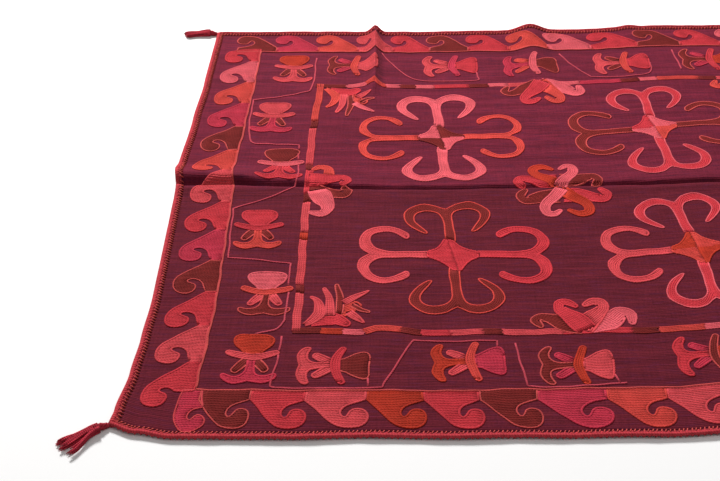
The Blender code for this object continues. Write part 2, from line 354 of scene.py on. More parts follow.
class Place:
    """Where a motif's own drawing lands on the flat cloth: a along its heading, b to the left of it."""

    def __init__(self, u, v, heading=0.0, size_a=1.0, size_b=1.0, skew=0.0):
        self.centre = np.array((u, v))
        turn = math.radians(heading)
        self.along = np.array((math.cos(turn), math.sin(turn))) * size_a
        turn += math.radians(skew)
        self.aside = np.array((-math.sin(turn), math.cos(turn))) * size_b

    def __call__(self, points):
        points = np.asarray(points, float)
        return self.centre + points[:, :1] * self.along + points[:, 1:] * self.aside


# ---- chain stitch rows

# Brown wool hardly shows on plum, so it gets a red outline
OUTLINES = {"brown": "outline"}


class Strands:
    """Gathers closed strands of wool, each made of rings of points, and makes one mesh of them."""

    def __init__(self):
        self.verts, self.faces, self.soft, self.shades, self.coords = [], [], [], [], []
        self.base = 0
        self.rng = random.Random(SEED)

    def strand(self, rings, shade, along, around, soft):
        """Joins rings of points, at these places along and around the wool; soft sides are shaded smooth."""
        count, sides = rings.shape[:2]
        self.verts.append(rings.reshape(-1, 3))
        self.shades.append(np.tile(shade, (count * sides, 1)))
        self.coords.append(np.stack(np.broadcast_arrays(along[:, None], around[None]), axis=-1).reshape(-1, 2))
        k = self.base + sides * np.arange(count - 1)[:, None]
        for j in range(sides):
            n = (j + 1) % sides
            self.faces.extend(np.hstack((k + j, k + sides + j, k + sides + n, k + n)).tolist())
            self.soft += [soft[j]] * len(k)
        end = self.base + sides * count
        self.faces += [list(range(self.base, self.base + sides)), list(range(end - 1, end - sides - 1, -1))]
        self.soft += [all(soft)] * 2
        self.base = end

    def make(self, name, material):
        return wool_mesh(name, np.concatenate(self.verts), self.faces, self.soft, material, "stitch",
                         np.concatenate(self.coords), np.concatenate(self.shades))


class Stitching(Strands):
    """Gathers the rows of one piece of embroidery."""

    def __init__(self, tone=1.0):
        super().__init__()
        self.tone = tone

    def lay_row(self, points, width, height, colour_name):
        """Adds a row along points, in wool whose dye lot differs a little."""
        if len(points) < 2 or np.linalg.norm(np.diff(points, axis=0), axis=1).sum() < ROW_SHORTEST:
            return
        shade = wool(colour_name) * self.tone * self.rng.uniform(*TONE_LOTS)
        shade[1:] *= self.rng.uniform(*HUE_LOTS)
        width = width * self.rng.uniform(*ROW_FULLNESS)
        points, along = thin(hand_drawn(points))
        flat = points[:, None] + normals(points)[:, None] * ROW_ACROSS[None, :, None] * width
        lifted = np.broadcast_to(CLOTH_THICK + ROW_UP * height - ROW_RIM * ROW_SINK, flat.shape[:2])
        self.strand(laid(flat[..., 0], flat[..., 1], lifted), shade, along, ROW_ACROSS, ROW_SOFT)

    def fill(self, outline, wool_name, guide=None, edge=None, taken=(), within=None, border=True):
        """Fills an outline with rows beside a guide line and goes round it once. Outlines in taken stay free."""
        guide = weft_guide(outline) if guide is None else guide
        reach = distance(outline, guide).max()
        side = normals(guide)
        inset = 0.5 * ROW_PITCH if border else 0.0
        for k in range(math.ceil(reach / ROW_PITCH)):
            for offset in ((k + 0.5) * ROW_PITCH, -(k + 0.5) * ROW_PITCH):
                line = guide + side * offset
                free = (depth(line, outline) > inset) & (distance(line, guide) > abs(offset) - SIDE_SLACK)
                if within is not None:
                    free &= (depth(line, within) > -0.6 * ROW_PITCH) & (depth(line, outline) > 0.3 * ROW_PITCH)
                self.runs(line, free & clear_of(line, taken), ROW_PITCH, sizes().row_height, wool_name)
        if border:
            self.go_round(outline, wool_name, edge or OUTLINES.get(wool_name), taken)

    def go_round(self, outline, wool_name, edge=None, taken=()):
        """One row just inside an outline, a thinner one where edge names another wool for it."""
        width = ROW_PITCH * (EDGE_SHARE if edge else 1.0)
        inset = width / 2
        line = outline - normals(outline, closed=True) * inset * turning(outline)
        line = np.concatenate((line, line[:1]))
        free = (distance(line, outline, closed=True) > 0.7 * inset) & (depth(line, outline) > 0)
        self.runs(line, free & clear_of(line, taken), width, sizes().outline_height, edge or wool_name)

    def runs(self, line, free, width, height, wool_name):
        """Adds a row along each stretch of a line that is free."""
        edges = np.flatnonzero(np.diff(np.concatenate(([0], free.astype(int), [0]))))
        for start, end in zip(edges[::2], edges[1::2]):
            self.lay_row(line[start:end], width, height, wool_name)

    def sew(self, name):
        finish_piece(self.make(name, stitched_material()), "woven_wool")


def clear_of(line, outlines, margin=0.3):
    """Which points of a line lie outside all of these outlines, or inside by less than this share of a row."""
    free = np.ones(len(line), bool)
    for outline in outlines:
        free &= depth(line, outline) < margin * ROW_PITCH
    return free


def turning(outline):
    """1 for an outline that runs clockwise, -1 for one that runs the other way."""
    x, y = outline[:, 0], outline[:, 1]
    return -1.0 if (x * np.roll(y, -1) - np.roll(x, -1) * y).sum() > 0 else 1.0


def hand_drawn(points):
    """Lets a stitched line wander by up to a millimetre, the same way as its neighbours."""
    u, v = points[:, 0], points[:, 1]
    shift_u = np.sin(71 * v + 23 * u) + 0.6 * np.sin(149 * v - 61 * u + 1.3)
    shift_v = np.sin(67 * u - 31 * v + 2.1) + 0.6 * np.sin(157 * u + 47 * v)
    return points + WANDER * np.stack((shift_u, shift_v), axis=1)


def thin(points):
    """A row's points that its turns and its longest straight piece need, and how far along each one is."""
    place = laid(points[:, 0], points[:, 1])
    along = run_length(place)
    run = np.diff(place, axis=0)
    run /= np.maximum(np.linalg.norm(run, axis=1, keepdims=True), 1e-12)
    kept = [0]
    for i in range(1, len(points) - 1):
        if along[i] - along[kept[-1]] > ROW_LONGEST or run[i] @ run[kept[-1]] < ROW_TURN:
            kept.append(i)
    kept.append(len(points) - 1)
    return points[kept], along[kept]


def weft_guide(outline, step=LINE_STEP):
    """A guide line along u through an outline, in step with all other rows along u."""
    low, high = outline.min(axis=0), outline.max(axis=0)
    middle = round((low[1] + high[1]) / 2 / ROW_PITCH) * ROW_PITCH
    return straight((low[0] - GUIDE_MARGIN, middle), (high[0] + GUIDE_MARGIN, middle), step)


# ---- objects and materials

def wool_mesh(name, verts, faces, soft, material, layer, coords, shades=None):
    """An object with coordinates and, where given, dye colours on its points; soft faces are shaded smooth."""
    mesh = bpy.data.meshes.new(name)
    mesh.from_pydata(verts, [], faces)
    if shades is not None:
        tint = mesh.attributes.new("wool_colour", "FLOAT_COLOR", "POINT")
        tint.data.foreach_set("color", np.hstack((shades, np.ones((len(shades), 1)))).ravel())
    corner = np.empty(len(mesh.loops), int)
    mesh.loops.foreach_get("vertex_index", corner)
    mesh.uv_layers.new(name=layer).data.foreach_set("uv", coords[corner].ravel())
    mesh.polygons.foreach_set("use_smooth", np.array(soft))
    mesh.validate()
    mesh.materials.append(material)
    return add(name, mesh)


def add(name, data):
    """An object of this data, in the scene."""
    obj = bpy.data.objects.new(name, data)
    bpy.context.scene.collection.objects.link(obj)
    return obj


def finish_piece(obj, slot, *nodes):
    """Rides on the rug, and hides the solids that it stands for. The slot is not used."""
    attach(obj, BODY)
    if nodes:
        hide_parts(*nodes)


class Shade:
    """A wool material under construction. Wool scatters light from loose fibres and hardly shines."""

    def __init__(self, name, roughness, sheen):
        self.material = bpy.data.materials.new(name)
        self.material.use_nodes = True
        self.tree = self.material.node_tree
        self.shader = self.tree.nodes["Principled BSDF"]
        for socket, value in (("Roughness", roughness), ("Specular IOR Level", 0.04), ("Sheen Weight", sheen),
                              ("Sheen Roughness", 0.5), ("Sheen Tint", (1.0, 0.35, 0.38, 1.0))):
            self.shader.inputs[socket].default_value = value

    def node(self, kind, inputs, **settings):
        """Adds a node with its settings; inputs are values or other nodes' outputs, by name or number."""
        made = self.tree.nodes.new(kind)
        for key, value in settings.items():
            setattr(made, key, value)
        for key, value in inputs.items():
            if isinstance(value, bpy.types.NodeSocket):
                self.tree.links.new(value, made.inputs[key])
            else:
                made.inputs[key].default_value = value
        return made

    def flat(self, name):
        """A UV map's vector, and its two parts."""
        vector = self.node("ShaderNodeUVMap", {}, uv_map=name).outputs[0]
        parts = self.node("ShaderNodeSeparateXYZ", {0: vector}).outputs
        return vector, parts[0], parts[1]

    def spot(self):
        return self.node("ShaderNodeTexCoord", {}).outputs["Object"]

    def dye(self):
        return self.node("ShaderNodeAttribute", {}, attribute_name="wool_colour").outputs["Color"]

    def noise(self, vector, scale, detail=2.0):
        """Noise of this many features a metre, one number or one for each direction."""
        if not isinstance(scale, float):
            vector = self.node("ShaderNodeVectorMath", {0: vector, 1: scale}, operation="MULTIPLY").outputs[0]
            scale = 1.0
        return self.node("ShaderNodeTexNoise", {"Vector": vector, "Scale": scale, "Detail": detail}).outputs[0]

    def calc(self, operation, *values):
        return self.node("ShaderNodeMath", dict(enumerate(values)), operation=operation).outputs[0]

    def remap(self, value, low, high, to_low=0.0, to_high=1.0):
        return self.node("ShaderNodeMapRange", {0: value, 1: low, 2: high, 3: to_low, 4: to_high}).outputs[0]

    def uneven(self, vector, scale, low, high):
        """A tone that goes between low and high with a noise."""
        return self.remap(self.noise(vector, scale, 3.0), 0.3, 0.7, low, high)

    def ribs(self, value, period):
        """A wave that repeats after this much of a value."""
        return self.calc("SINE", self.calc("MULTIPLY", value, 2 * math.pi / period))

    def mix(self, share, one, wool_name):
        return self.node("ShaderNodeMix", {0: share, 6: one, 7: (*wool(wool_name), 1)}, data_type="RGBA").outputs[2]

    def finish(self, dye, tone, relief, strength, distance):
        """The dye's colour times a tone, and a relief of this height in metres."""
        dyed = self.node("ShaderNodeVectorMath", {0: dye, "Scale": tone}, operation="SCALE").outputs[0]
        self.tree.links.new(dyed, self.shader.inputs["Base Color"])
        bump = self.node("ShaderNodeBump", {"Strength": strength, "Distance": distance, "Height": relief})
        self.tree.links.new(bump.outputs[0], self.shader.inputs["Normal"])
        return self.material


def flat_woven_wool():
    """Weft-faced flat weave in plum wool: fine ribs along the rug, dye bands a hand wide, a matt dry surface."""
    shade = Shade("flat woven plum wool", 0.92, 0.05)
    flat, _, v = shade.flat("weave")
    # The far half, past the middle crease, a little paler: partly the cloth's own tone, partly painted light, as the
    # far half lies in brighter light
    ground = shade.mix(shade.remap(v, 0.006, 0.020), (*wool("plum_near"), 1), "plum_far")
    # Dye bands: 5 to 40 mm across, decimetres long
    bands = shade.remap(shade.noise(flat, (2.6, 62.0, 1.0), 4.0), 0.36, 0.72, 0.0, 0.62)
    ground = shade.mix(bands, ground, "plum_dark")
    # Weft yarns of another dye lot: runs one or two yarns thick and a few centimetres long
    runs = shade.remap(shade.noise(flat, (34.0, 240.0, 1.0), 3.0), 0.50, 0.68, 0.0, 0.85)
    ground = shade.mix(runs, ground, "plum_violet")
    # Picks: single passes of weft about 1.7 mm apart, drawn 3.4 mm apart so that they show
    picks = shade.noise(flat, (16.0, 290.0, 1.0))
    warps = shade.noise(flat, (280.0, 18.0, 1.0))
    tone = shade.calc("ADD", shade.remap(picks, 0.25, 0.75, 0.70, 1.18), shade.remap(warps, 0.3, 0.7, -0.08, 0.08))
    tone = shade.calc("ADD", tone, shade.uneven(flat, 330.0, -0.16, 0.16))
    # Ribs where the weft passes over the warps
    ribs = shade.calc("MULTIPLY_ADD", shade.ribs(v, 0.0034), 0.35, warps)
    return shade.finish(ground, tone, shade.calc("MULTIPLY_ADD", picks, 1.6, ribs), 0.6, 0.0007)


def chain_stitched_wool():
    """Two-ply wool in chain stitch: each row a line of 5 mm links, soft, uneven in dye, with painted shade between
    rows and in the dips of the links.
    """
    shade = Shade("chain stitched wool", 0.88, 0.08)
    _, along, across = shade.flat("stitch")
    side = shade.calc("ABSOLUTE", across)
    # Links are chevrons; the tone drops with them too, a painted shade where the links dip
    link = shade.ribs(shade.calc("MULTIPLY_ADD", side, -0.006, along), 0.005)
    # Worn and fresher patches a few centimetres wide, and the specks of loose fibre ends
    patches = shade.calc("MULTIPLY", shade.uneven(shade.spot(), 42.0, 0.84, 1.12),
                        shade.uneven(shade.spot(), 420.0, 0.84, 1.16))
    # Painted shade: darker towards each row's sides, where rows meet, and in the dips of the links
    tone = shade.calc("MULTIPLY", shade.remap(side, 0.26, 0.52, 1.03, 0.90),
                     shade.calc("MULTIPLY", patches, shade.remap(link, -1.0, 1.0, 0.88, 1.06)))
    relief = shade.calc("MULTIPLY_ADD", link, 0.5, shade.noise(shade.spot(), 900.0))
    return shade.finish(shade.dye(), tone, relief, 0.5, 0.0005)


def plied_yarn(name, ply):
    """Thick plied wool yarn: slanting plies that show as fine diagonal ribs, with painted shade in the grooves
    between them, matt with a dry fuzz.
    """
    shade = Shade(name, 0.86, 0.08)
    _, along, around = shade.flat("stitch")
    twist = shade.ribs(shade.calc("MULTIPLY_ADD", along, 1 / ply, around), 1.0)
    # Painted shade: the tone drops in the grooves between the plies
    tone = shade.calc("MULTIPLY", shade.remap(twist, -1.0, 1.0, 0.82, 1.08),
                     shade.uneven(shade.spot(), 160.0, 0.82, 1.18))
    return shade.finish(shade.dye(), tone, twist, 0.6, 0.0004)


def stitched_material():
    return bpy.data.materials.get("chain stitched wool") or chain_stitched_wool()


# ---- the cloth

def grid_lines(half, creases):
    """Places of the cloth's mesh lines along one direction, closer on its creases."""
    fixed = sorted((-half, half, *creases))
    lines = [fixed[0]]
    for place in fixed[1:]:
        start = lines[-1]
        gap = place - start
        if gap >= LINES_CLOSEST:
            count = max(1, round(gap / sizes().grid_step))
            lines += [start + gap * (i + 1) / count for i in range(count)]
    lines[-1] = half
    return lines


class KILIM_OT_weave_cloth(bpy.types.Operator):
    """Weaves the plum cloth, laid in its storage creases"""
    bl_idname = "kilim.weave_cloth"
    bl_label = "Weave cloth"

    def execute(self, context):
        folds = [fold.at + t * (fold.near if t < 0 else fold.off) for fold in FOLDS for t in FOLD_LINES]
        beside = [CREASE_MIDDLE + 0.001 * t for t in CREASE_LINES]
        u, v = np.meshgrid(grid_lines(HALF_U, folds), grid_lines(HALF_V, beside), indexing="ij")
        follow = ease((FOLLOW_REACH - np.abs(v - CREASE_MIDDLE)) / FOLLOW_FADE)
        v = v + follow * (eased(CREASE, u) - CREASE_MIDDLE)
        index = np.arange(u.size).reshape(u.shape)
        across = u.shape[1]
        k = index[:-1, :-1].reshape(-1, 1)
        under = np.hstack((k, k + 1, k + across + 1, k + across))
        top = np.hstack((k, k + across, k + across + 1, k + 1)) + u.size
        rim = np.concatenate((index[:, 0], index[-1, 1:], index[-2::-1, -1], index[0, -2:0:-1]))
        after = np.roll(rim, -1)
        walls = np.stack((rim, after, after + u.size, rim + u.size), axis=1)
        cloth = wool_mesh("woven_cloth", np.concatenate((laid(u, v).reshape(-1, 3),
                                                         laid(u, v, CLOTH_THICK).reshape(-1, 3))),
                          np.concatenate((under, top, walls)).tolist(),
                          [True] * (len(under) + len(top)) + [False] * len(walls), flat_woven_wool(), "weave",
                          np.tile(np.stack((u.ravel(), v.ravel()), axis=1), (2, 1)))
        finish_piece(cloth, "woven_wool", "cloth")
        return {"FINISHED"}


# ---- wave border

# A wave, along its run and outward from the border's inner line. A point given twice is a corner.
WAVE_LENGTH = 0.088
WAVE_FOOT = mm("0 0, 0 0, 88 0, 88 0, 88 20.5, 88 20.5")
WAVE_THROAT = mm("80 23.5, 70.5 26.5, 61.5 31.5, 55.8 38.5, 54.5 46, 57 51.5, 60.5 52")
WAVE_CURL = mm("63.5 47.5, 66 41.5, 71.5 37, 80 36.5, 88 40.5, 92.8 49, 93 59, 88.5 68.5, 79 75.2, 66.5 77, "
               "54 74.5, 42.5 68")
WAVE_BACK = mm("29 53.5, 15 37, 0 20.5, 0 20.5")
WAVE = WAVE_FOOT + WAVE_THROAT + WAVE_CURL + WAVE_BACK
# The first wave after a corner, whose back is cut short and rounded
FIRST_WAVE = mm("30 0, 30 0") + WAVE_FOOT[2:] + WAVE_THROAT + WAVE_CURL + mm("37 56, 31.5 40, 30 20")
# The wave before the turned corner, which gives way to the corner's own hook
LAST_WAVE = mm("0 0, 0 0, 60 0, 60 0, 60.5 31.5, 60.5 31.5") + WAVE_THROAT[3:] + WAVE_CURL + WAVE_BACK
# The hook that turns the near left corner, along +u and outward, and where it stands
CORNER_HOOK = mm("-33.5 0, -33.5 0, -2 0, -2 0, -1 15, 3 26, 7 34, 7 34, 1 36.5, -6 39, -10.5 45, -11.2 53, -8 57, "
                 "-4.5 52, 1 47.5, 8 49.5, 13 58, 11.5 70, 3 79, -8 82.5, -19 79.5, -27 70, -31.5 55, -33.5 30")
CORNER_HOOK_AT = (0.014 - BAND_U, BAND_NEAR)
# The line under the waves: its width, height and wool
BORDER_LINE = (0.0028, 0.0016, "outline")
# Each side's waves as they run: heading, where their line lies, depth, wools, and the place where each starts, with
# the end of the last one
WaveSide = namedtuple("WaveSide", "name heading line depth wools starts")


def even(first, step, count):
    return tuple(first + step * k for k in range(count))


WAVE_SIDES = (
    WaveSide(
        "left", 270, -BAND_U, 0.97, "red pink coral crimson brown coral salmon red crimson brown red salmon red",
        even(0.5575, -0.0839, 13) + (-0.541,)),
    WaveSide(
        "near", 0, BAND_NEAR, 1.0, "brown red salmon rust red brown crimson coral salmon red pink brown coral"
        " crimson salmon red brown pink coral",
        (-0.790, -0.717, -0.641, -0.556, -0.475, -0.393, -0.309, -0.209, -0.120) + even(-0.035, 0.0876, 11)),
    WaveSide(
        "right", 90, BAND_U, 0.97, "salmon red brown pink crimson coral salmon red brown pink crimson coral brown",
        even(-0.545, 0.085, 14)),
    WaveSide(
        "far", 180, BAND_FAR, 0.92, "salmon red brown pink crimson coral salmon pink red brown red pink coral red"
        " brown red salmon coral crimson brown",
        even(0.840, -0.085, 7) + (0.250, 0.173, 0.088, -0.002, -0.099, -0.192, -0.272, -0.356, -0.438, -0.514,
                                  -0.590, -0.677, -0.766, -0.850)),
)


class KILIM_OT_stitch_waves(bpy.types.Operator):
    """Stitches the running wave border"""
    bl_idname = "kilim.stitch_waves"
    bl_label = "Stitch wave border"

    def execute(self, context):
        corners = ((-BAND_U, BAND_FAR), (-BAND_U, BAND_NEAR), (BAND_U, BAND_NEAR), (BAND_U, BAND_FAR))
        for n, side in enumerate(WAVE_SIDES):
            stitching = Stitching(0.87)
            wools = side.wools.split()
            for k, (wool_name, start, end) in enumerate(zip(wools, side.starts, side.starts[1:])):
                shape = WAVE
                if k == 0 and side.name != "near":
                    shape = FIRST_WAVE
                elif k == len(wools) - 1 and side.name == "left":
                    shape = LAST_WAVE
                centre = (side.line, start) if side.heading % 180 else (start, side.line)
                place = Place(*centre, side.heading, abs(end - start) / WAVE_LENGTH, -side.depth)
                stitching.fill(spread(place(shape), closed=True), wool_name)
            if side.name == "near":
                place = Place(*CORNER_HOOK_AT, size_b=-1.0)
                stitching.fill(spread(place(CORNER_HOOK), closed=True), "crimson", edge="salmon")
            stitching.lay_row(straight(corners[n], corners[(n + 1) % 4]), *BORDER_LINE)
            stitching.sew("waves_" + side.name)
        return {"FINISHED"}


# ---- border flowers

def mirrored(half):
    """A closed drawing from its half on the left of the heading."""
    return tuple(half) + tuple((a, -b) for a, b in reversed(half))


def flipped(points, side):
    """A drawing's points, on its other side where side is -1."""
    return np.asarray(points) * (1, side)


BULB = mirrored(mm("60.5 10, 60 21.5, 56 29.5, 48 31.5, 35 25.5, 22.5 16, 13.5 12.5, 13.5 0"))
ROUND_BULB = mirrored(mm("60.5 9, 59.5 21, 54 30, 44.5 32.5, 32.5 28.5, 22 19, 13.5 12.5, 13.5 0"))
ARMS = mm("16.5 -36.5, 11.5 -24, 8 -8, 8 8, 11.5 24, 16.5 36.5")
ARM_WIDTHS = metres("12.5 14 16 14 12.5")
LEG = mm("6 3, -6 11, -21.5 21.5")
LEG_WIDTHS = metres("14 16.5 14")
FOOT = mirrored(mm("4 0, 4 6, -12 6.5, -26 8.5, -33.5 15, -34.5 26, -30.5 36.5, -33 41.5, -40.5 40.5, -48 32, "
                   "-52 20, -50 8, -47.5 0"))
ARM_CLEAR = (0.014, 0.014)   # how wide a strip the vine leaves free for the arms
Flower = namedtuple("Flower", "place bulb wools")


def flower(line):
    """A flower from its line of the table. One that stands on a short side has a rounder bulb."""
    u, v, heading, size, *wools = line.split()
    place = Place(*metres(u + " " + v), float(heading), float(size), float(size))
    return Flower(place, ROUND_BULB if float(heading) > 45 else BULB, wools)


# Each flower's place in millimetres, heading, size, and the wools of its bulb, arms, legs and foot
FLOWERS = tuple(flower(line) for line in """
    -727 -443.5 90 0.97 rust salmon brown crimson
    -720.5 -288 90 1.0 pink coral salmon brown
    -745 -114 91 1.0 red red brown coral
    -716.5 83 90 1.0 brown pink red red
    -747 251 89 0.98 salmon salmon brown crimson
    -722.5 441 91 0.98 rust salmon brown salmon
    -610 -454 0 0.97 brown red salmon salmon
    -410 -445.5 1 1.0 crimson coral salmon rust
    -249 -457 -1 1.0 salmon rust crimson brown
    -42 -444 1 1.03 rust brown crimson red
    135 -450 0 1.0 salmon red brown coral
    318 -446 1 1.0 brown pink coral crimson
    500 -452 0 1.0 red salmon brown pink
    662 -448 -1 1.0 coral crimson salmon brown
    -603 460 0 0.95 salmon coral crimson brown
    -401 458 1 1.0 red crimson salmon salmon
    -238 452 0 1.0 brown pink coral crimson
    -50 456 1 1.03 red coral brown salmon
    130 460 0 1.03 rust red crimson brown
    315 458 0 1.0 pink salmon brown red
    492 456 0 1.0 crimson coral salmon rust
    664 458 0 1.0 brown pink red salmon
    738 -430 90 1.0 salmon rust brown red
    726 -270 91 1.0 crimson pink coral brown
    742 -108 90 1.0 brown red salmon crimson
    728 66 89 1.0 rust salmon brown coral
    741 238 90 1.0 pink crimson red brown
    729 400 90 1.0 red coral brown salmon
""".strip().splitlines())


def stitch_band(stitching, place, points, widths, wool_name, taken=(), round_start=False):
    """A stitched band along points of a motif's drawing; its outline is returned."""
    spine = spread(place(points))
    outline = band(spine, widths, round_start)
    lead, trail = (spine[0] - spine[1]) * GUIDE_LEAD, (spine[-1] - spine[-2]) * GUIDE_LEAD
    guide = np.concatenate((straight(spine[0] + lead, spine[0])[:-1], spine,
                            straight(spine[-1], spine[-1] + trail)[1:]))
    stitching.fill(outline, wool_name, guide, taken=taken)
    return outline


class KILIM_OT_stitch_flowers(bpy.types.Operator):
    """Stitches the small flowers between the wave border and the inner frame"""
    bl_idname = "kilim.stitch_flowers"
    bl_label = "Stitch border flowers"

    def execute(self, context):
        stitching = Stitching(0.92)
        for place, bulb, (bulb_wool, arms_wool, legs_wool, foot_wool) in FLOWERS:
            taken = [stitch_band(stitching, place, ARMS, ARM_WIDTHS, arms_wool, round_start=True)]
            for shape, wool_name in ((bulb, bulb_wool), (FOOT, foot_wool)):
                outline = spread(place(shape), closed=True)
                stitching.fill(outline, wool_name, taken=taken)
                taken.append(outline)
            for side in (1, -1):
                stitch_band(stitching, place, flipped(LEG, side), LEG_WIDTHS, legs_wool, taken)
        stitching.sew("border_flowers")
        return {"FINISHED"}


# ---- medallions and crosses

# Half of a medallion's arm with its ram's horn, round or pointed at the tip, and the line its rows follow. A slim
# horn's inner points move towards the outer ones; the places of two such points in the list add up to the number
ARM_SHAPES = {
    "round": (mm("30 0, 30 0, 30 8.5, 70 8.5, 106 9.2, 121 14.5, 131 25, 135.5 38, 132.5 50, 123 57.5, 109 60.5, "
                 "95 56, 81 46.5, 75.5 45, 71.5 49, 71.5 56, 75.5 62.5, 88 71.5, 107 77.5, 126 76.5, 143 66.5, "
                 "154 50, 157.5 34, 154.5 17, 148 6, 143 0, 143 0"), 29),
    "pointed": (mm("30 0, 30 0, 30 8.8, 86 8.5, 110 9.8, 123 18, 128.5 34, 124.5 48, 113 56, 98 55.5, 83 46.5, "
                   "70 37.8, 64 36.5, 63.2 42, 70 52, 85 66, 102 74.5, 119 74.5, 133.5 66, 146 51, 150 35, "
                   "145.5 18, 138.5 8, 133 0, 133 0"), 26),
}
HORN_LINE = mm("10 3.4, 104 3.4, 122 7.5, 138.5 17.5, 146 35, 141.5 53, 127 66.5, 108 69, 90 63.5, 74 53, 60 40")
QUARTER = mm("0 0, 0 0, 45 0, 45 0, 43 8, 29 15.5, 17 26.5, 9.2 41, 0 43, 0 43")
# Centre, tilt, how much further the far and near arms and the quarters lean, the wools of the right, far, left and
# near arms with the outlines of each pair, the wools of the four quarters between them, the arms' lengths, and how
# slim the horns of each pair are
MEDALLIONS = (
    (-0.418, -0.180, -1, (4, 2, 9), "red brown salmon brown", (None, "coral"), "red red red red",
     (1.03, 1.0, 1.0, 1.03), (0.12, 0.0)),
    (-0.425, 0.185, 1, (2, 0, 9), "coral pink coral pink", (None, None), "brown pink brown pink",
     (0.98, 1.04, 0.98, 1.02), (0.32, 0.0)),
    (-0.010, -0.180, 3, (4, -1, 4), "salmon red salmon red", (None, "pink"), "coral rust coral rust",
     (1.0, 1.03, 1.0, 1.03), (0.18, 0.08)),
    (-0.019, 0.203, 5, (-3, -1, 6), "brown red brown red", ("outline", "pink"), "pink red pink coral",
     (1.02, 1.0, 1.02, 1.06), (0.10, 0.05)),
    (0.405, -0.180, 0, (2, 2, 4), "pink brown salmon brown", (None, "coral"), "red coral red coral",
     (1.0,) * 4, (0.1, 0.0)),
    (0.400, 0.198, -2, (1, 1, 4), "coral salmon red salmon", (None, "pink"), "brown pink brown pink",
     (1.0,) * 4, (0.1, 0.0)),
)


def drawn(text):
    """A band's points and its widths at them."""
    rows = np.array(mm(text))
    return rows[:, :2], rows[:, 2]


# A small cross's hooks, upright or lying to the side: into the field, and to the side
HOOKS = {
    "upright": drawn("2 -4 34, 24 9 38, 41 24 35, 53.5 33 24.5, 66.5 32 20, 70 20 18.5, 61 8 11"),
    "slim": drawn("2 -2 24, 22 12 25, 38 28 24, 53 34.5 20, 66 31 18.5, 69 19 17, 61 8 10.5"),
    "level": drawn("18 1 38, 18 30 39, 22.5 51 31, 24.5 65 23, 15 71 19, 6 64 14"),
    "curl": drawn("18 34 22, 36 37 20, 50 37.5 18.5, 61 33 17.5, 64 20 16.5, 56 10 10.5"),
    "hook": drawn("9 16 34, 18 20 42, 32 28 38, 45 34.5 26, 57 35 21.5, 67 26 19, 65 8 11"),
    "flat": drawn("6 -2 30, 15 18 38, 25 38 39, 34.5 60 22.5, 29 73 19.5, 14 66.5 10"),
    "broad": drawn("10 -2 32, 18 24 44, 27 45 47, 43 62 29, 38.5 76 21.5, 19 75 13"),
}


def cross(u, v, text):
    """A cross's bands: where each lands, its drawing, and its wool."""
    bands = []
    for hook in text.split(","):
        heading, shape, along, aside, wool_name = hook.split()
        bands.append((Place(u, v, float(heading), float(along), float(aside)), HOOKS[shape], wool_name))
    return bands


# Each hook's heading, shape, sizes along and aside, less than 0 on the heading's right, and wool
CROSSES = (
    cross(-0.22, 0.008,
          "90 slim 1.02 -0.84 pink, 270 slim 1.12 -0.95 pink, 90 slim 1.0 1.26 rust, 270 slim 1.12 1.32 rust, "
          "90 level 1.12 1.05 red, 270 level 1.35 1.12 red, 90 level 1.22 -0.98 brown, 270 level 1.4 -1.0 brown"),
    cross(0.2, 0.01,
          "90 slim 1.02 -1.0 coral, 270 slim 1.1 -1.05 crimson, 90 slim 1.0 1.1 red, 270 slim 1.1 1.1 pink, "
          "90 level 1.15 1.0 brown, 270 level 1.3 1.0 brown, 90 level 1.15 -1.0 salmon, 270 level 1.3 -1.0 pink"),
    cross(-0.223, -0.381,
          "90 upright 1.0 1.0 red, 90 upright 1.02 -1.05 salmon, 90 flat 1.0 1.0 brown, 90 broad 1.0 -1.0 pink"),
    cross(0.2, -0.381,
          "90 upright 1.0 1.0 pink, 90 upright 1.0 -1.0 crimson, 90 flat 1.0 1.0 coral, 90 broad 1.0 -1.0 brown"),
    cross(-0.22, 0.384,
          "270 upright 1.08 -1.05 red, 270 upright 1.03 1.0 coral, 270 flat 1.1 -1.0 brown, "
          "270 broad 0.95 1.0 pink"),
    cross(0.198, 0.384,
          "270 upright 1.0 -1.0 salmon, 270 upright 1.0 1.0 rust, 270 flat 1.0 -1.0 coral, 270 broad 1.0 1.0 brown"),
    cross(-0.666, 0.0175,
          "90 level 1.0 -0.97 red, 90 curl 0.98 -1.0 coral, 270 hook 1.2 1.0 pink, 270 level 1.0 1.0 brown"),
    cross(0.666, 0.0175,
          "90 level 1.0 1.0 brown, 90 curl 0.98 1.0 salmon, 270 hook 1.15 -1.0 red, 270 level 1.0 -1.0 pink"),
)
# Corner sprigs: fingers from a root in the frame's corner
SPRIG = (
    drawn("62 58 14, 82 74 13, 103 90 5"),
    drawn("57 30 12, 58 70 14, 53 103 8"),
    drawn("44 24 16, 40.5 68 14, 33.5 93 8"),
    drawn("4 3 9, 17 14 17, 27 32 20, 26 50 18, 20 66 14, 13 73 8"),
    drawn("70 39 15, 84 25 14, 96 11 5"),
    drawn("76 55 10, 90 43 10, 103 38 7"),
    drawn("12 6 16, 36 18 28, 56 18 28, 69 10 18"),
    drawn("26 26 20, 52 38 36, 79 50 28"),
)
SPRIGS = tuple(
    [(Place(u, v, 0, along, aside), *finger) for finger in zip(SPRIG, wools.split())]
    for u, v, along, aside, wools in (
        (-0.660, -0.366, 1, 1, "salmon brown salmon salmon salmon brown red coral"),
        (-0.657, 0.369, 1, -1, "pink brown salmon coral salmon brown red coral"),
        (0.660, -0.366, -1, 1, "pink coral brown red brown salmon crimson red"),
        (0.660, 0.369, -1, -1, "salmon red brown pink coral brown salmon coral")))


def slimmer(shape, pairs, share):
    """An arm's half whose horn is thinner by this share, and parts nearer to the centre."""
    points = np.array(shape)
    for k in range(5, pairs // 2 - 2):
        points[k] += (points[pairs - k] - points[k]) * share
    points[-3:, 0] -= np.array((0.018, 0.032, 0.032)) * share
    return points


